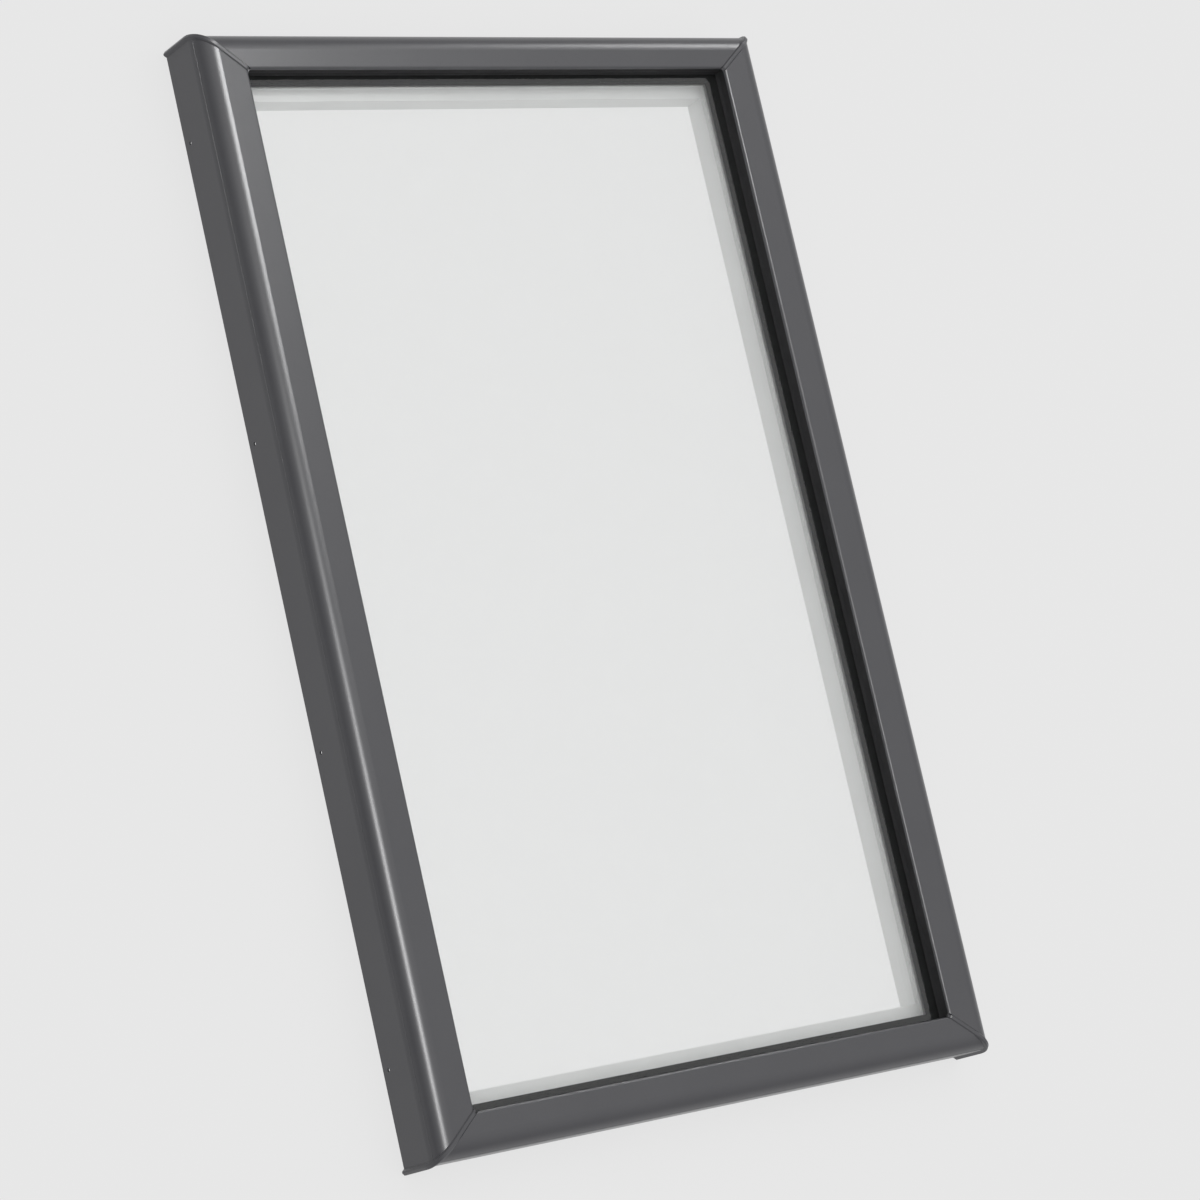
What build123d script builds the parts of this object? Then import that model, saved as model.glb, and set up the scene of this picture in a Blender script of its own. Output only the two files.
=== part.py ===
# Fixed roof skylight that sits over a timber kerb.
# Units are millimetres. X runs across the roof, Y up the slope and Z out through the glass.
# The origin is the centre of the plane that the skirts' lower edges stand on.
import math
import os

from build123d import *

os.makedirs("parts", exist_ok=True)

# Overall size over the skirts
OUTER_WIDTH = 900.0
OUTER_LENGTH = 1450.0

# Heights stacked up from the skirts' lower edges to the rails' crown
SKIRT_LAP = 24.0
KERB_GASKET = 3.0
BASE_HEIGHT = 9.0
TAPE_THICKNESS = 3.2
INNER_LITE = 3.0
INTERLAYER = 0.8
CAVITY = 12.0
OUTER_PANE = 4.0
LIP_RISE = 22.3

# Aluminium rails: skirt, rounded shoulder, sloping top and nosed lip
SIDE_RAIL = 64.0
END_RAIL = 52.0
RAIL_WALL = 2.2
SHOULDER_RADIUS = 26.0
TOP_FALL = 1.3
NOSE_RADIUS = 4.0
HEM_REACH = 5.0
HEM_HEIGHT = 3.0

# Fixing holes in the skirts
FIXING_HOLE_RADIUS = 2.5
FIXING_HOLE_HEIGHT = 13.0
SIDE_HOLE_COUNT = 4
SIDE_HOLE_MARGIN = 125.0
END_HOLE_COUNT = 4
END_HOLE_MARGIN = 120.0

# Corner pieces
RIB_WIDTH = 7.0
RIB_RADIUS = 34.0
RIB_PROUD_SKIRT = 3.2
RIB_PROUD_TOP = 1.4
RIB_BEVEL = 1.5
RIB_POST_DEPTH = 7.0
KEY_LENGTH = 45.0
KEY_WIDTH = 20.0
KEY_HEIGHT = 10.0
KEY_LEAD = 1.5
KEY_CLEARANCE = 0.3
JOINT_GAP = 0.05
LIP_CORNER_RADIUS = 6.0
LIP_CORNER_HEIGHT = 2.4

# Lip gaskets
GASKET_DEPTH = 4.0
GASKET_BAND = 2.5
GASKET_SHOULDER = 5.0
GASKET_TOE = 1.6
GASKET_FIT = 0.2
LUG_DEPTH = 1.0
LUG_HEIGHT = 3.0

# Sealed glass unit
EDGE_BITE = 8.0
SEAL_WIDTH = 9.0
SPACER_WIDTH = 9.0
SPACER_CORNER = 6.0
TAPE_EDGE = 1.0

# Timber kerb that the skylight goes over, which is not part of it
KERB_THICKNESS = 38.0

# Rigid plastic inner frame
INNER_WALL = 2.2
SETTING_GAP = 4.0
UPSTAND_WIDTH = 12.0
BASE_TOE = 3.0
LEG_CLEARANCE = 2.0
LEG_WIDTH = 14.0
LEG_BOTTOM = 4.0

# Hexagon head screws that hold the rails down on the inner frame
SCREW_RADIUS = 2.1
SCREW_HEAD_RADIUS = 4.0
SCREW_HEAD_HEIGHT = 2.4
SCREW_TIP = 4.0
SCREW_CLEARANCE = 0.15
SCREW_ACCESS = 1.0
SCREW_MARGIN = 165.0
SIDE_SCREW_COUNT = 3
END_SCREW_COUNT = 2

# Blocks round the edge of the glass
BLOCK_LENGTH = 80.0
BLOCK_CLEARANCE = 0.5

# Heights that follow from the stack
BASE_BOTTOM = SKIRT_LAP + KERB_GASKET
BASE_TOP = BASE_BOTTOM + BASE_HEIGHT
GLASS_BOTTOM = BASE_TOP + TAPE_THICKNESS
LOWER_LITE_TOP = GLASS_BOTTOM + INNER_LITE
UPPER_LITE_BOTTOM = LOWER_LITE_TOP + INTERLAYER
CAVITY_BOTTOM = UPPER_LITE_BOTTOM + INNER_LITE
CAVITY_TOP = CAVITY_BOTTOM + CAVITY
GLASS_TOP = CAVITY_TOP + OUTER_PANE
CROWN = GLASS_TOP + LIP_RISE
SHOULDER_FOOT = CROWN - SHOULDER_RADIUS
NOSE_TOP = CROWN - TOP_FALL
NOSE_BOTTOM = NOSE_TOP - NOSE_RADIUS
WEB_BOTTOM = GLASS_TOP + GASKET_BAND
WEB_TOP = WEB_BOTTOM + RAIL_WALL
LUG_MIDDLE = (WEB_TOP + NOSE_BOTTOM) / 2

# Insets that follow, counted inwards from the skirt faces
SIDE_GLASS_INSET = SIDE_RAIL - EDGE_BITE
END_GLASS_INSET = END_RAIL - EDGE_BITE
SIDE_SPACER_INSET = SIDE_GLASS_INSET + SEAL_WIDTH
END_SPACER_INSET = END_GLASS_INSET + SEAL_WIDTH
UPSTAND_FACE = END_GLASS_INSET - SETTING_GAP
UPSTAND_INSET = UPSTAND_FACE - UPSTAND_WIDTH
SCREW_INSET = UPSTAND_INSET + UPSTAND_WIDTH / 2
KERB_INSET = UPSTAND_INSET - BASE_TOE
KERB_INSIDE = KERB_INSET + KERB_THICKNESS
LEG_INSET = KERB_INSIDE + LEG_CLEARANCE
LEG_INSIDE = LEG_INSET + LEG_WIDTH

# Halves, and the mitre that takes both rails from the outer corner to their lips
HALF_WIDTH = OUTER_WIDTH / 2
HALF_LENGTH = OUTER_LENGTH / 2
MITRE_RUN = (SIDE_RAIL, END_RAIL)
MITRE_LENGTH = math.hypot(*MITRE_RUN)
RAIL_SETBACK = RIB_WIDTH / 2 + JOINT_GAP

# Section planes: local X runs inwards from the skirt face and local Y runs up
SIDE_SECTION = Plane(origin=(-HALF_WIDTH, HALF_LENGTH, 0), x_dir=(1, 0, 0), z_dir=(0, -1, 0))
END_SECTION = Plane(origin=(-HALF_WIDTH, -HALF_LENGTH, 0), x_dir=(0, 1, 0), z_dir=(1, 0, 0))
MITRE_SECTION = Plane(
    origin=(-HALF_WIDTH, -HALF_LENGTH, 0),
    x_dir=(SIDE_RAIL, END_RAIL, 0),
    z_dir=(END_RAIL, -SIDE_RAIL, 0),
)


def save(piece, name):
    """Label a finished piece and write it under its own name."""
    piece.part.label = name
    export_step(piece.part, f"parts/{name}.step")


def save_opposite(piece, name, about):
    """Write the mirror image of a piece for the other side of the skylight."""
    with BuildPart() as opposite:
        mirror(piece.part, about=about)
    save(opposite, name)


def spread(count, half_run, margin):
    """Places of an even row that ends a margin short of both ends of the run."""
    reach = half_run - margin
    return [reach * (2 * i / (count - 1) - 1) for i in range(count)]


def between(left, right, bottom, top):
    """Sketch rectangle given by its four sides."""
    with BuildSketch() as area:
        with Locations(((left + right) / 2, (bottom + top) / 2)):
            Rectangle(right - left, top - bottom)
    return area.sketch


def mitre_plane(corner, run, along_side, setback=0.0):
    """Cutting plane of a foot left mitre, its normal pointing into the side or the end bar.

    The mitre passes through corner, given as insets from the left and foot skirt faces,
    and goes inwards in the direction run. The cut lies setback away from it, inside the bar.
    """
    length = math.hypot(*run)
    normal = Vector(-run[1] / length, run[0] / length, 0)
    if not along_side:
        normal = -normal
    origin = Vector(corner[0] - HALF_WIDTH, corner[1] - HALF_LENGTH, 0)
    return Plane(origin=origin + normal * setback, z_dir=normal)


def far_end(plane, along_side):
    """The same cutting plane at the bar's other end."""
    origin = plane.origin
    normal = plane.z_dir
    if along_side:
        return Plane(origin=(origin.X, -origin.Y, 0), z_dir=(normal.X, -normal.Y, 0))
    return Plane(origin=(-origin.X, origin.Y, 0), z_dir=(-normal.X, normal.Y, 0))


def bar(section, along_side, corner=(0, 0), run=(1, 1), setback=0.0):
    """Mitred bar of a section, along the left side or along the foot."""
    plane = SIDE_SECTION if along_side else END_SECTION
    length = OUTER_LENGTH if along_side else OUTER_WIDTH
    cut = mitre_plane(corner, run, along_side, setback)
    with BuildPart() as piece:
        with BuildSketch(plane):
            add(section)
        extrude(amount=length)
        split(bisect_by=cut, keep=Keep.TOP)
        split(bisect_by=far_end(cut, along_side), keep=Keep.TOP)
    return piece


def strip(along_side, left, right, bottom, top, ends):
    """Plain strip along the left side or the foot, stopping short of the skirt faces by ends."""
    section = SIDE_SECTION if along_side else END_SECTION
    length = (OUTER_LENGTH if along_side else OUTER_WIDTH) - 2 * ends
    with BuildPart() as piece:
        with BuildSketch(section.offset(ends)):
            add(between(left, right, bottom, top))
        extrude(amount=length)
    return piece


def rail_section(width):
    """Hollow rail section: skin, hem, web and the grooved leg that holds the lip gasket."""
    reach = SHOULDER_RADIUS
    leg = width - GASKET_DEPTH
    leg_back = leg - RAIL_WALL
    with BuildSketch() as section:
        with BuildLine():
            Line((0, 0), (0, SHOULDER_FOOT))
            RadiusArc((0, SHOULDER_FOOT), (reach, CROWN), reach)
            Line((reach, CROWN), (width - NOSE_RADIUS, NOSE_TOP))
            RadiusArc((width - NOSE_RADIUS, NOSE_TOP), (width, NOSE_BOTTOM), NOSE_RADIUS)
            Polyline(
                (width, NOSE_BOTTOM),
                (leg_back, NOSE_BOTTOM),
                (leg_back, NOSE_TOP - RAIL_WALL),
                (reach, CROWN - RAIL_WALL),
            )
            RadiusArc((reach, CROWN - RAIL_WALL), (RAIL_WALL, SHOULDER_FOOT), RAIL_WALL - reach)
            Polyline(
                (RAIL_WALL, SHOULDER_FOOT),
                (RAIL_WALL, HEM_HEIGHT),
                (HEM_REACH, HEM_HEIGHT),
                (HEM_REACH, 0),
                (0, 0),
            )
        make_face()
        add(between(RAIL_WALL / 2, leg, WEB_BOTTOM, WEB_TOP))
        add(between(leg_back, leg, WEB_BOTTOM, NOSE_BOTTOM))
        add(lug(leg), mode=Mode.SUBTRACT)
    return section.sketch


def lug(leg):
    """Section of the lug on a lip gasket and of the groove that it fills in the rail's leg."""
    return between(
        leg - LUG_DEPTH, leg, LUG_MIDDLE - LUG_HEIGHT / 2, LUG_MIDDLE + LUG_HEIGHT / 2
    )


def gasket_section(width):
    """Lip gasket: a wall under the lip, a lug, a band on the glass and a toe that sheds water."""
    leg = width - GASKET_DEPTH
    face = width - GASKET_FIT
    with BuildSketch() as section:
        with BuildLine():
            Polyline(
                (leg, NOSE_BOTTOM - GASKET_FIT),
                (face, NOSE_BOTTOM - GASKET_FIT),
                (face, GLASS_TOP + GASKET_SHOULDER),
                (width + GASKET_TOE, GLASS_TOP),
                (width - EDGE_BITE, GLASS_TOP),
                (width - EDGE_BITE, WEB_BOTTOM),
                (leg, WEB_BOTTOM),
                close=True,
            )
        make_face()
        add(lug(leg))
    return section.sketch


def inner_section():
    """Plastic inner frame: hollow base on the kerb, upstand to the rail and leg down inside."""
    wall = INNER_WALL
    base_floor = BASE_BOTTOM + wall
    base_ceiling = BASE_TOP - wall
    outline = (
        between(KERB_INSET, LEG_INSIDE, BASE_BOTTOM, BASE_TOP),
        between(LEG_INSET, LEG_INSIDE, LEG_BOTTOM, BASE_TOP),
        between(UPSTAND_INSET, UPSTAND_FACE, BASE_TOP, WEB_BOTTOM),
    )
    hollows = (
        between(KERB_INSET + wall, UPSTAND_FACE, base_floor, base_ceiling),
        between(UPSTAND_FACE + wall, LEG_INSET - wall, base_floor, base_ceiling),
        between(UPSTAND_INSET + wall, UPSTAND_FACE - wall, BASE_TOP, WEB_BOTTOM - wall),
        between(LEG_INSET + wall, LEG_INSIDE - wall, LEG_BOTTOM + wall, base_ceiling),
    )
    with BuildSketch() as section:
        for area in outline:
            add(area)
        for area in hollows:
            add(area, mode=Mode.SUBTRACT)
    return section.sketch


def rail(width, along_side, holes, screws):
    """One aluminium rail, with fixing holes through its skirt and screw holes through its web."""
    blank = bar(rail_section(width), along_side, (0, 0), MITRE_RUN, RAIL_SETBACK)
    with BuildPart() as piece:
        add(blank.part)
        with Locations(*holes):
            Hole(FIXING_HOLE_RADIUS, depth=2 * RAIL_WALL)
        with Locations(*[(x, y, WEB_TOP) for x, y in screws]):
            Hole(SCREW_RADIUS + SCREW_CLEARANCE, depth=2 * RAIL_WALL)
    return piece


def inner_bar(along_side, screws):
    """One length of the plastic inner frame, with holes for its screws and windows to their heads."""
    blank = bar(inner_section(), along_side, (KERB_INSET, KERB_INSET))
    screw_floor = BASE_TOP - INNER_WALL
    window = 2 * (SCREW_HEAD_RADIUS + SCREW_ACCESS)
    with BuildPart() as piece:
        add(blank.part)
        with Locations(*[(x, y, WEB_BOTTOM) for x, y in screws]):
            Hole(SCREW_RADIUS + SCREW_CLEARANCE, depth=WEB_BOTTOM - screw_floor)
        with BuildSketch(Plane.XY.offset(BASE_BOTTOM)):
            with Locations(*screws):
                Rectangle(window, window)
        extrude(amount=INNER_WALL, mode=Mode.SUBTRACT)
    return piece


def ring(side_inset, end_inset, width, bottom, top, corner_radius):
    """Flat rectangular ring with rounded inner corners, given by the insets of its outside."""
    with BuildPart() as piece:
        with BuildSketch(Plane.XY.offset(bottom)):
            Rectangle(OUTER_WIDTH - 2 * side_inset, OUTER_LENGTH - 2 * end_inset)
            RectangleRounded(
                OUTER_WIDTH - 2 * (side_inset + width),
                OUTER_LENGTH - 2 * (end_inset + width),
                corner_radius,
                mode=Mode.SUBTRACT,
            )
        extrude(amount=top - bottom)
    return piece


def pane(bottom, top):
    """One sheet of the sealed glass unit."""
    with BuildPart() as piece:
        with BuildSketch(Plane.XY.offset(bottom)):
            Rectangle(OUTER_WIDTH - 2 * SIDE_GLASS_INSET, OUTER_LENGTH - 2 * END_GLASS_INSET)
        extrude(amount=top - bottom)
    return piece


def key(width, along_side):
    """Tongue of a corner piece, which plugs into a rail's chamber and has a lead-in at its tip."""
    inner_side = width - GASKET_DEPTH - RAIL_WALL - KEY_CLEARANCE
    bottom = WEB_TOP + KEY_CLEARANCE
    reach = (END_RAIL if along_side else SIDE_RAIL) + KEY_LENGTH
    face = Plane.XZ.offset(HALF_LENGTH) if along_side else Plane.YZ.offset(-HALF_WIDTH)
    start = -HALF_WIDTH if along_side else -HALF_LENGTH
    towards = -reach if along_side else reach
    tip = Axis.Y if along_side else Axis.X
    with BuildPart() as piece:
        with BuildSketch(face):
            with Locations((start + inner_side - KEY_WIDTH / 2, bottom + KEY_HEIGHT / 2)):
                Rectangle(KEY_WIDTH, KEY_HEIGHT)
        extrude(amount=towards)
        chamfer(piece.faces().sort_by(tip)[-1].edges(), KEY_LEAD)
        split(bisect_by=mitre_plane((0, 0), MITRE_RUN, along_side), keep=Keep.TOP)
    return piece


def on_rib(edge):
    """Whether an edge of the rib plate lies along its exposed rim."""
    place = MITRE_SECTION.to_local_coords(edge @ 0.5)
    on_face = abs(abs(place.Z) - RIB_WIDTH / 2) < JOINT_GAP
    exposed = place.X < 0 or place.Y > NOSE_BOTTOM + JOINT_GAP
    return on_face and (exposed or edge.geom_type == GeomType.CIRCLE)


def rib_plate():
    """Plate between two rail ends, whose rim stands out as a bevelled rib along the mitre."""
    inside = (END_RAIL - GASKET_DEPTH - LUG_DEPTH) * MITRE_LENGTH / END_RAIL
    top_start = (RIB_RADIUS - RIB_PROUD_SKIRT, CROWN + RIB_PROUD_TOP)
    top_end = (MITRE_LENGTH - NOSE_RADIUS, NOSE_TOP + RIB_PROUD_TOP)
    arc_foot = (-RIB_PROUD_SKIRT, CROWN + RIB_PROUD_TOP - RIB_RADIUS)
    tip = (MITRE_LENGTH + RIB_PROUD_TOP, NOSE_BOTTOM)
    with BuildPart() as piece:
        with BuildSketch(MITRE_SECTION):
            with BuildLine():
                Line((-RIB_PROUD_SKIRT, 0), arc_foot)
                RadiusArc(arc_foot, top_start, RIB_RADIUS)
                Line(top_start, top_end)
                RadiusArc(top_end, tip, NOSE_RADIUS + RIB_PROUD_TOP)
                Polyline(
                    tip,
                    (inside, NOSE_BOTTOM),
                    (inside, WEB_BOTTOM),
                    (RIB_POST_DEPTH, WEB_BOTTOM),
                    (RIB_POST_DEPTH, 0),
                    (-RIB_PROUD_SKIRT, 0),
                )
            make_face()
        extrude(amount=RIB_WIDTH / 2, both=True)
        chamfer(piece.edges().filter_by(on_rib), RIB_BEVEL)
    return piece


def lip_gusset():
    """Small web that rounds the inner corner of the lip."""
    size = LIP_CORNER_RADIUS
    corner = (SIDE_RAIL - HALF_WIDTH, END_RAIL - HALF_LENGTH)
    with BuildPart() as piece:
        with BuildSketch(Plane.XY.offset(NOSE_BOTTOM)):
            with Locations(corner):
                Rectangle(size, size, align=(Align.MIN, Align.MIN))
            with Locations((corner[0] + size, corner[1] + size)):
                Circle(size, mode=Mode.SUBTRACT)
        extrude(amount=LIP_CORNER_HEIGHT)
    return piece


# Places of the fixing holes, facing out of the skirts, and of the screws, in plan
SIDE_HOLES = [
    Location((-HALF_WIDTH, y, FIXING_HOLE_HEIGHT), (0, -90, 0))
    for y in spread(SIDE_HOLE_COUNT, HALF_LENGTH, SIDE_HOLE_MARGIN)
]
END_HOLES = [
    Location((x, -HALF_LENGTH, FIXING_HOLE_HEIGHT), (90, 0, 0))
    for x in spread(END_HOLE_COUNT, HALF_WIDTH, END_HOLE_MARGIN)
]
SIDE_SCREWS = [
    (SCREW_INSET - HALF_WIDTH, y) for y in spread(SIDE_SCREW_COUNT, HALF_LENGTH, SCREW_MARGIN)
]
END_SCREWS = [
    (x, SCREW_INSET - HALF_LENGTH) for x in spread(END_SCREW_COUNT, HALF_WIDTH, SCREW_MARGIN)
]

# Aluminium rails
left_rail = rail(SIDE_RAIL, True, SIDE_HOLES, SIDE_SCREWS)
save(left_rail, "left_rail")
save_opposite(left_rail, "right_rail", Plane.YZ)
foot_rail = rail(END_RAIL, False, END_HOLES, END_SCREWS)
save(foot_rail, "foot_rail")
save_opposite(foot_rail, "head_rail", Plane.XZ)

# Corner pieces
with BuildPart() as corner_foot_left:
    add(rib_plate().part)
    add(key(SIDE_RAIL, True).part)
    add(key(END_RAIL, False).part)
    add(lip_gusset().part)
save(corner_foot_left, "corner_piece_foot_left")
save_opposite(corner_foot_left, "corner_piece_foot_right", Plane.YZ)
save_opposite(corner_foot_left, "corner_piece_head_left", Plane.XZ)
with BuildPart() as corner_head_left:
    mirror(corner_foot_left.part, about=Plane.XZ)
save_opposite(corner_head_left, "corner_piece_head_right", Plane.YZ)

# Lip gaskets between the rails and the glass
LIP_CORNER = (SIDE_RAIL, END_RAIL)
left_gasket = bar(gasket_section(SIDE_RAIL), True, LIP_CORNER)
save(left_gasket, "lip_gasket_left")
save_opposite(left_gasket, "lip_gasket_right", Plane.YZ)
foot_gasket = bar(gasket_section(END_RAIL), False, LIP_CORNER)
save(foot_gasket, "lip_gasket_foot")
save_opposite(foot_gasket, "lip_gasket_head", Plane.XZ)

# Plastic inner frame
inner_left = inner_bar(True, SIDE_SCREWS)
save(inner_left, "inner_frame_left")
save_opposite(inner_left, "inner_frame_right", Plane.YZ)
inner_foot = inner_bar(False, END_SCREWS)
save(inner_foot, "inner_frame_foot")
save_opposite(inner_foot, "inner_frame_head", Plane.XZ)

# Sealed glass unit, from the outer pane down
outer_pane = pane(CAVITY_TOP, GLASS_TOP)
save(outer_pane, "outer_pane")
edge_seal = ring(
    SIDE_GLASS_INSET, END_GLASS_INSET, SEAL_WIDTH, CAVITY_BOTTOM, CAVITY_TOP, SPACER_CORNER
)
save(edge_seal, "edge_seal")
with BuildPart() as spacer:
    with BuildSketch(Plane.XY.offset(CAVITY_BOTTOM)):
        RectangleRounded(
            OUTER_WIDTH - 2 * SIDE_SPACER_INSET,
            OUTER_LENGTH - 2 * END_SPACER_INSET,
            SPACER_CORNER,
        )
        Rectangle(
            OUTER_WIDTH - 2 * (SIDE_SPACER_INSET + SPACER_WIDTH),
            OUTER_LENGTH - 2 * (END_SPACER_INSET + SPACER_WIDTH),
            mode=Mode.SUBTRACT,
        )
    extrude(amount=CAVITY)
save(spacer, "spacer_frame")
upper_lite = pane(UPPER_LITE_BOTTOM, CAVITY_BOTTOM)
save(upper_lite, "inner_pane_upper_lite")
interlayer = pane(LOWER_LITE_TOP, UPPER_LITE_BOTTOM)
save(interlayer, "inner_pane_interlayer")
lower_lite = pane(GLASS_BOTTOM, LOWER_LITE_TOP)
save(lower_lite, "inner_pane_lower_lite")

# Glazing tape between the glass unit and the inner frame, out of sight under the spacer
SIDE_TAPE_INSET = SIDE_GLASS_INSET + TAPE_EDGE
END_TAPE_INSET = END_GLASS_INSET + TAPE_EDGE
SIDE_TAPE_INSIDE = min(SIDE_SPACER_INSET + SPACER_WIDTH, LEG_INSIDE) - TAPE_EDGE
END_TAPE_INSIDE = min(END_SPACER_INSET + SPACER_WIDTH, LEG_INSIDE) - TAPE_EDGE
tape_left = strip(
    True, SIDE_TAPE_INSET, SIDE_TAPE_INSIDE, BASE_TOP, GLASS_BOTTOM, END_TAPE_INSET
)
save(tape_left, "glazing_tape_left")
save_opposite(tape_left, "glazing_tape_right", Plane.YZ)
tape_foot = strip(
    False, END_TAPE_INSET, END_TAPE_INSIDE, BASE_TOP, GLASS_BOTTOM, SIDE_TAPE_INSIDE
)
save(tape_foot, "glazing_tape_foot")
save_opposite(tape_foot, "glazing_tape_head", Plane.XZ)

# Foam gasket between the inner frame and the kerb
kerb_left = strip(True, KERB_INSET, KERB_INSIDE, SKIRT_LAP, BASE_BOTTOM, KERB_INSET)
save(kerb_left, "kerb_gasket_left")
save_opposite(kerb_left, "kerb_gasket_right", Plane.YZ)
kerb_foot = strip(False, KERB_INSET, KERB_INSIDE, SKIRT_LAP, BASE_BOTTOM, KERB_INSIDE)
save(kerb_foot, "kerb_gasket_foot")
save_opposite(kerb_foot, "kerb_gasket_head", Plane.XZ)

# Blocks at the quarter points, which carry and centre the glass inside the upstands
BLOCK_TOP = GLASS_TOP - BLOCK_CLEARANCE
QUARTER_WIDTH = (HALF_WIDTH - SIDE_GLASS_INSET) / 2
QUARTER_LENGTH = (HALF_LENGTH - END_GLASS_INSET) / 2
SIDE_BLOCK = SIDE_GLASS_INSET - UPSTAND_FACE
with BuildPart() as setting_blocks:
    with BuildSketch(Plane.XY.offset(BASE_TOP)):
        with Locations((0, UPSTAND_FACE + SETTING_GAP / 2 - HALF_LENGTH)):
            with GridLocations(2 * QUARTER_WIDTH, 1, 2, 1):
                Rectangle(BLOCK_LENGTH, SETTING_GAP)
    extrude(amount=BLOCK_TOP - BASE_TOP)
save(setting_blocks, "setting_blocks")
with BuildPart() as side_blocks:
    with BuildSketch(Plane.XY.offset(BASE_TOP)):
        with GridLocations(2 * (HALF_WIDTH - UPSTAND_FACE) - SIDE_BLOCK, 2 * QUARTER_LENGTH, 2, 2):
            Rectangle(SIDE_BLOCK, BLOCK_LENGTH)
    extrude(amount=BLOCK_TOP - BASE_TOP)
save(side_blocks, "side_blocks")

# Screws up through the inner frame into the rails' webs
HEAD_TOP = BASE_TOP - INNER_WALL
ALL_SCREWS = [(side * x, y) for x, y in SIDE_SCREWS for side in (1, -1)]
ALL_SCREWS += [(x, end * y) for x, y in END_SCREWS for end in (1, -1)]
with BuildPart() as frame_screws:
    with BuildSketch(Plane.XY.offset(HEAD_TOP - SCREW_HEAD_HEIGHT)):
        with Locations(*ALL_SCREWS):
            RegularPolygon(SCREW_HEAD_RADIUS, 6)
    extrude(amount=SCREW_HEAD_HEIGHT)
    with BuildSketch(Plane.XY.offset(HEAD_TOP)):
        with Locations(*ALL_SCREWS):
            Circle(SCREW_RADIUS)
    extrude(amount=WEB_TOP + SCREW_TIP - HEAD_TOP)
save(frame_screws, "frame_screws")
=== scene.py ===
"""Fixed roof skylight: finishes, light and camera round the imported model.

Everything is in metres, in the model's own frame: X across the roof, Y up the slope
to the head rail and Z out through the glass. The model lies on the floor.
"""

import bpy
from mathutils import Matrix, Vector

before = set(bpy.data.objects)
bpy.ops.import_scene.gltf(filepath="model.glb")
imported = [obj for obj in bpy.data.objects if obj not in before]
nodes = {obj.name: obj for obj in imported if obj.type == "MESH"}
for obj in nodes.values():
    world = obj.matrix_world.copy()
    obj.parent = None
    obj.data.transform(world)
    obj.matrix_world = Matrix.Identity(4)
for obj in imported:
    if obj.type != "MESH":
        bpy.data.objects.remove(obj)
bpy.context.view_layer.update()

SIDES = ("left", "right")
ENDS = ("foot", "head")
ALL_SIDES = SIDES + ENDS

# Camera: above and to the left of the skylight, and rolled, as in the photograph
CAMERA_PLACE = Vector((-2.9128, -0.8381, 3.9464))
CAMERA_RIGHT = Vector((0.80258, -0.21906, 0.55487))
CAMERA_UP = Vector((0.08482, 0.96259, 0.25733))
CAMERA_REACH = 100
FOCAL_PIXELS = 3770.4
IMAGE_PIXELS = 1200
SENSOR_MM = 36.0

# Floor: a glow of its own keeps it pale and even, with only faint shadows
FLOOR_SIZE = 30.0
FLOOR_GREY = 0.10
FLOOR_GLOW = 0.705

# Sky: its strength overhead and low down to the left and right. The two heights are the
# upward parts of a direction of length 1 where the low sky ends and the overhead one starts.
SKY_OVERHEAD = 1.42
SKY_LEFT = 0.10
SKY_RIGHT = 0.45
SKY_LOW_HEIGHT = 0.25
SKY_OVERHEAD_HEIGHT = 0.95

# Noise: most of its values lie between these two
NOISE_LOW = 0.3
NOISE_HIGH = 0.7

# Satin paint: mottling and orange peel, with scales per metre and heights in metres
PAINT_MOTTLE_SCALE = 9.0
PAINT_PEEL_SCALE = 1100.0
PAINT_PEEL_STRENGTH = 0.05
PAINT_PEEL_HEIGHT = 0.0004
PAINT_SHINE = 0.32

# Rubber, foam and plastic: the grain is finer than the clouding by this ratio
GRAIN_RATIO = 12
GRAIN_HEIGHT = 0.0003
PLASTIC_SHINE = 0.5

# Glass
GLASS_IOR = 1.5
MIRROR_ROUGHNESS = 0.02

# Light passes this many clear faces before it is dropped. The stacked panes look dark with fewer.
CLEAR_FACES = 40


def shader_nodes(name):
    """A new material with its node tree, its Principled shader and its output node."""
    material = bpy.data.materials.new(name)
    material.use_nodes = True
    tree = material.node_tree
    tree.nodes.clear()
    output = tree.nodes.new("ShaderNodeOutputMaterial")
    shader = tree.nodes.new("ShaderNodeBsdfPrincipled")
    tree.links.new(shader.outputs["BSDF"], output.inputs["Surface"])
    return material, tree, shader, output


def object_coordinates(tree):
    """Texture coordinates in metres in the model's frame."""
    return tree.nodes.new("ShaderNodeTexCoord").outputs["Object"]


def noise(tree, vector, scale, detail=2.0, roughness=0.5):
    """Cloudy noise from 0 to 1."""
    texture = tree.nodes.new("ShaderNodeTexNoise")
    texture.inputs["Scale"].default_value = scale
    texture.inputs["Detail"].default_value = detail
    texture.inputs["Roughness"].default_value = roughness
    tree.links.new(vector, texture.inputs["Vector"])
    return texture.outputs["Fac"]


def ramp(tree, value, low, high, low_value, high_value):
    """Maps value from low..high to low_value..high_value."""
    node = tree.nodes.new("ShaderNodeMapRange")
    for name, number in (("From Min", low), ("From Max", high),
                         ("To Min", low_value), ("To Max", high_value)):
        node.inputs[name].default_value = number
    tree.links.new(value, node.inputs["Value"])
    return node.outputs["Result"]


def spread_noise(tree, texture, low_value, high_value):
    """Stretches a noise's usual values to low_value..high_value."""
    return ramp(tree, texture, NOISE_LOW, NOISE_HIGH, low_value, high_value)


def mix_colour(tree, factor, first, second):
    """A colour between first and second."""
    node = tree.nodes.new("ShaderNodeMix")
    node.data_type = "RGBA"
    tree.links.new(factor, node.inputs["Factor"])
    node.inputs["A"].default_value = (*first, 1)
    node.inputs["B"].default_value = (*second, 1)
    return node.outputs["Result"]


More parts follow.
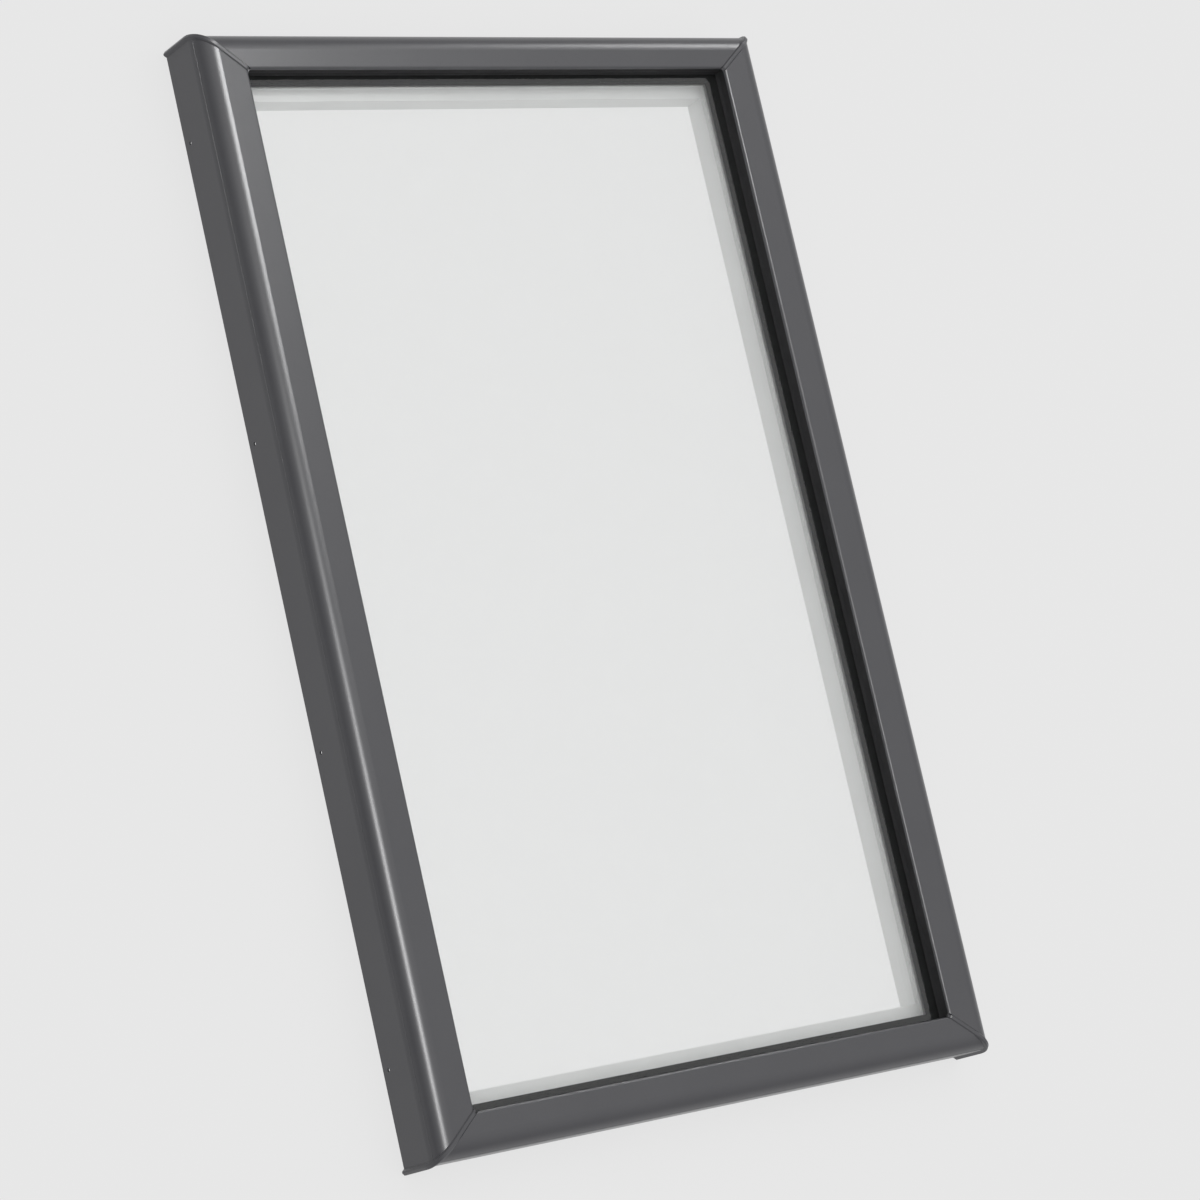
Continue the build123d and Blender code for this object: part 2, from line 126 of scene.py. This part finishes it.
def bump(tree, shader, texture, strength, height):
    """Tilts the shader's normal by a texture whose full range stands for height."""
    node = tree.nodes.new("ShaderNodeBump")
    node.inputs["Strength"].default_value = strength
    node.inputs["Distance"].default_value = height
    tree.links.new(texture, node.inputs["Height"])
    tree.links.new(node.outputs["Normal"], shader.inputs["Normal"])


def satin_paint(name, dark, light, roughness, peel_scale=PAINT_PEEL_SCALE, metallic=0.0):
    """Smooth satin finish: faint mottling and fine orange peel."""
    material, tree, shader, _ = shader_nodes(name)
    vector = object_coordinates(tree)
    mottle = noise(tree, vector, PAINT_MOTTLE_SCALE, detail=4.0, roughness=0.6)
    colour = mix_colour(tree, spread_noise(tree, mottle, 0, 1), dark, light)
    tree.links.new(colour, shader.inputs["Base Color"])
    peel = noise(tree, vector, peel_scale)
    patchy = spread_noise(tree, peel, roughness - 0.03, roughness + 0.05)
    tree.links.new(patchy, shader.inputs["Roughness"])
    bump(tree, shader, peel, PAINT_PEEL_STRENGTH, PAINT_PEEL_HEIGHT)
    shader.inputs["Metallic"].default_value = metallic
    shader.inputs["Specular IOR Level"].default_value = PAINT_SHINE
    return material


def plain_solid(name, dark, light, roughness, scale, grain_strength, shine=PLASTIC_SHINE):
    """Rubber, foam, sealant or moulded plastic: faint clouding and a fine grain."""
    material, tree, shader, _ = shader_nodes(name)
    vector = object_coordinates(tree)
    cloud = noise(tree, vector, scale, detail=3.0, roughness=0.6)
    colour = mix_colour(tree, spread_noise(tree, cloud, 0, 1), dark, light)
    tree.links.new(colour, shader.inputs["Base Color"])
    grain = noise(tree, vector, scale * GRAIN_RATIO)
    patchy = spread_noise(tree, grain, roughness - 0.04, roughness + 0.04)
    tree.links.new(patchy, shader.inputs["Roughness"])
    bump(tree, shader, grain, grain_strength, GRAIN_HEIGHT)
    shader.inputs["Specular IOR Level"].default_value = shine
    return material


def clear_sheet(name, tint, mirror_share):
    """Thin clear sheet: its tint, and a mirror on outward faces that grows with the angle.

    mirror_share is 1 where both faces of the sheet meet air, and less where it is bonded.
    """
    material, tree, shader, output = shader_nodes(name)
    tree.nodes.remove(shader)
    clear = tree.nodes.new("ShaderNodeBsdfTransparent")
    clear.inputs["Color"].default_value = (*tint, 1)
    mirror = tree.nodes.new("ShaderNodeBsdfGlossy")
    mirror.inputs["Roughness"].default_value = MIRROR_ROUGHNESS
    mirror.inputs["Color"].default_value = (1, 1, 1, 1)
    fresnel = tree.nodes.new("ShaderNodeFresnel")
    fresnel.inputs["IOR"].default_value = GLASS_IOR
    geometry = tree.nodes.new("ShaderNodeNewGeometry")
    front = ramp(tree, geometry.outputs["Backfacing"], 0, 1, mirror_share, 0)
    share = tree.nodes.new("ShaderNodeMath")
    share.operation = "MULTIPLY"
    share.use_clamp = True
    tree.links.new(fresnel.outputs["Fac"], share.inputs[0])
    tree.links.new(front, share.inputs[1])
    mix = tree.nodes.new("ShaderNodeMixShader")
    tree.links.new(share.outputs["Value"], mix.inputs["Fac"])
    tree.links.new(clear.outputs["BSDF"], mix.inputs[1])
    tree.links.new(mirror.outputs["BSDF"], mix.inputs[2])
    tree.links.new(mix.outputs["Shader"], output.inputs["Surface"])
    return material


def dress(names, material):
    """Gives the named CAD nodes one material."""
    for name in names:
        mesh = nodes[name].data
        mesh.materials.clear()
        mesh.materials.append(material)


# Rails, corner pieces and screws
rails = satin_paint("Rail_Paint", dark=(0.072, 0.072, 0.078), light=(0.078, 0.078, 0.084),
                    roughness=0.30)
corners = satin_paint("Corner_Plastic", dark=(0.068, 0.068, 0.074), light=(0.075, 0.075, 0.081),
                      roughness=0.34, peel_scale=700.0)
steel = satin_paint("Zinc_Screws", dark=(0.50, 0.50, 0.50), light=(0.60, 0.60, 0.60),
                    roughness=0.32, metallic=1.0)
dress([f"{side}_rail" for side in ALL_SIDES], rails)
dress([f"corner_piece_{end}_{side}" for end in ENDS for side in SIDES], corners)
dress(["frame_screws"], steel)

# White inner frame
plastic = plain_solid("White_Plastic", dark=(0.72, 0.725, 0.72), light=(0.76, 0.765, 0.76),
                      roughness=0.45, scale=14.0, grain_strength=0.05)
dress([f"inner_frame_{side}" for side in ALL_SIDES], plastic)

# Gaskets, blocks and tapes
rubber = plain_solid("Black_Rubber", dark=(0.011, 0.011, 0.012), light=(0.014, 0.014, 0.015),
                     roughness=0.7, scale=60.0, grain_strength=0.02, shine=0.2)
tape = plain_solid("Glazing_Tape", dark=(0.60, 0.60, 0.60), light=(0.66, 0.66, 0.66),
                   roughness=0.85, scale=180.0, grain_strength=0.3)
foam = plain_solid("Kerb_Foam", dark=(0.030, 0.030, 0.032), light=(0.05, 0.05, 0.052),
                   roughness=0.9, scale=220.0, grain_strength=0.4)
dress([f"lip_gasket_{side}" for side in ALL_SIDES], rubber)
dress(["setting_blocks", "side_blocks"], rubber)
dress([f"glazing_tape_{side}" for side in ALL_SIDES], tape)
dress([f"kerb_gasket_{side}" for side in ALL_SIDES], foam)

# Sealed glass unit: the inner pane is two lites bonded by a clear film
outer_glass = clear_sheet("Outer_Glass", tint=(0.974, 0.976, 0.975), mirror_share=1.0)
inner_glass = clear_sheet("Inner_Glass", tint=(0.994, 0.995, 0.9945), mirror_share=0.5)
film = clear_sheet("Clear_Interlayer", tint=(0.999, 0.999, 0.999), mirror_share=0.0)
seal = plain_solid("Edge_Sealant", dark=(0.010, 0.010, 0.010), light=(0.012, 0.012, 0.012),
                   roughness=0.8, scale=40.0, grain_strength=0.0, shine=0.05)
spacer = plain_solid("Warm_Edge_Spacer", dark=(0.013, 0.014, 0.014), light=(0.015, 0.016, 0.016),
                     roughness=0.8, scale=80.0, grain_strength=0.0, shine=0.05)
dress(["outer_pane"], outer_glass)
dress(["inner_pane_upper_lite", "inner_pane_lower_lite"], inner_glass)
dress(["inner_pane_interlayer"], film)
dress(["edge_seal"], seal)
dress(["spacer_frame"], spacer)

# Floor
half = FLOOR_SIZE / 2
floor_corners = [(-half, -half, 0), (half, -half, 0), (half, half, 0), (-half, half, 0)]
floor_mesh = bpy.data.meshes.new("floor")
floor_mesh.from_pydata(floor_corners, [], [(0, 1, 2, 3)])
floor = bpy.data.objects.new("floor", floor_mesh)
bpy.context.scene.collection.objects.link(floor)
floor_material, _, floor_shader, _ = shader_nodes("Pale_Floor")
floor_shader.inputs["Base Color"].default_value = (FLOOR_GREY, FLOOR_GREY, FLOOR_GREY, 1)
floor_shader.inputs["Roughness"].default_value = 1.0
floor_shader.inputs["Specular IOR Level"].default_value = 0.0
floor_shader.inputs["Emission Color"].default_value = (1, 1, 1, 1)
floor_shader.inputs["Emission Strength"].default_value = FLOOR_GLOW
floor_mesh.materials.append(floor_material)

# Sky
world = bpy.data.worlds.new("Studio")
bpy.context.scene.world = world
world.use_nodes = True
sky = world.node_tree
direction = sky.nodes.new("ShaderNodeTexCoord").outputs["Generated"]
split = sky.nodes.new("ShaderNodeSeparateXYZ")
sky.links.new(direction, split.inputs["Vector"])
low_sky = ramp(sky, split.outputs["X"], -1, 1, SKY_LEFT, SKY_RIGHT)
climb = ramp(sky, split.outputs["Z"], SKY_LOW_HEIGHT, SKY_OVERHEAD_HEIGHT, 0, 1)
blend = sky.nodes.new("ShaderNodeMix")
blend.data_type = "FLOAT"
sky.links.new(climb, blend.inputs["Factor"])
sky.links.new(low_sky, blend.inputs["A"])
blend.inputs["B"].default_value = SKY_OVERHEAD
background = sky.nodes["Background"]
background.inputs["Color"].default_value = (1, 1, 1, 1)
sky.links.new(blend.outputs["Result"], background.inputs["Strength"])


def soft_light(name, place, target, size, power):
    """Rectangular soft box at place that faces target and shows only as a reflection."""
    lamp = bpy.data.lights.new(name, "AREA")
    lamp.shape = "RECTANGLE"
    lamp.size, lamp.size_y = size
    lamp.energy = power
    box = bpy.data.objects.new(name, lamp)
    box.location = place
    aim = Vector(target) - Vector(place)
    box.rotation_euler = aim.to_track_quat("-Z", "Y").to_euler()
    box.visible_diffuse = False
    bpy.context.scene.collection.objects.link(box)


# Soft boxes, each named after where its reflection shows
soft_light("Head end of left shoulder", place=(0.27, 1.45, 2.5), target=(-0.40, 0.60, 0.08),
           size=(0.8, 0.9), power=88)
soft_light("Foot end of left shoulder", place=(-2.45, -0.13, 4.5), target=(-0.43, -0.50, 0.08),
           size=(1.2, 1.1), power=205)
soft_light("Right end of head rail", place=(2.20, 2.40, 1.30), target=(0.40, 0.70, 0.08),
           size=(0.9, 0.7), power=32)
bpy.context.scene.view_settings.view_transform = "Standard"
bpy.context.scene.cycles.transparent_max_bounces = CLEAR_FACES

# Camera
camera_data = bpy.data.cameras.new("Camera")
camera_data.sensor_width = SENSOR_MM
camera_data.lens = FOCAL_PIXELS / IMAGE_PIXELS * SENSOR_MM
camera_data.clip_end = CAMERA_REACH
camera = bpy.data.objects.new("Camera", camera_data)
bpy.context.scene.collection.objects.link(camera)
backward = CAMERA_RIGHT.cross(CAMERA_UP)
turn = Matrix((CAMERA_RIGHT, CAMERA_UP, backward)).transposed().to_4x4()
camera.matrix_world = Matrix.Translation(CAMERA_PLACE) @ turn
bpy.context.scene.camera = camera
